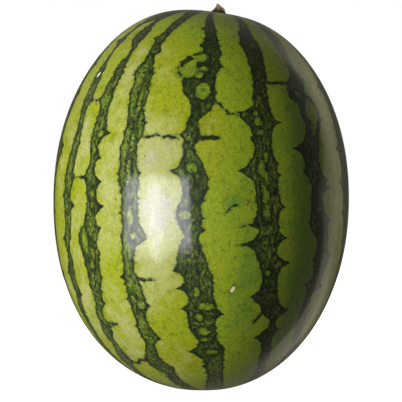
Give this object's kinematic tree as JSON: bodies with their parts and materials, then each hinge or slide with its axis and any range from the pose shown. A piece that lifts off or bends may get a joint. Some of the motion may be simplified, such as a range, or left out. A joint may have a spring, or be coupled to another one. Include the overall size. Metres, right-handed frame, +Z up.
{
  "type": "watermelon",
  "caption": "Whole oval watermelon with dark ragged stripes, standing on its blossom end, with a short cut stem stub on top.",
  "frame": {"origin": "on the surface that the fruit stands on, below the middle of its body", "axes": "+Z up, from blossom end to stem; -Y is the side shown in the picture; +X is the right of that view, the side that the stem stub stands off to"},
  "size_m": [0.2319, 0.2287, 0.3026],
  "materials": {
    "rind": "waxy, semi-gloss, yellow-green with dark green ragged stripes",
    "dried_stalk": "dry, fibrous, brown with a paler cut face"
  },
  "bodies": {
    "root": {"fruit": "rind", "stem_stub": "dried_stalk"}
  },
  "joints": []
}
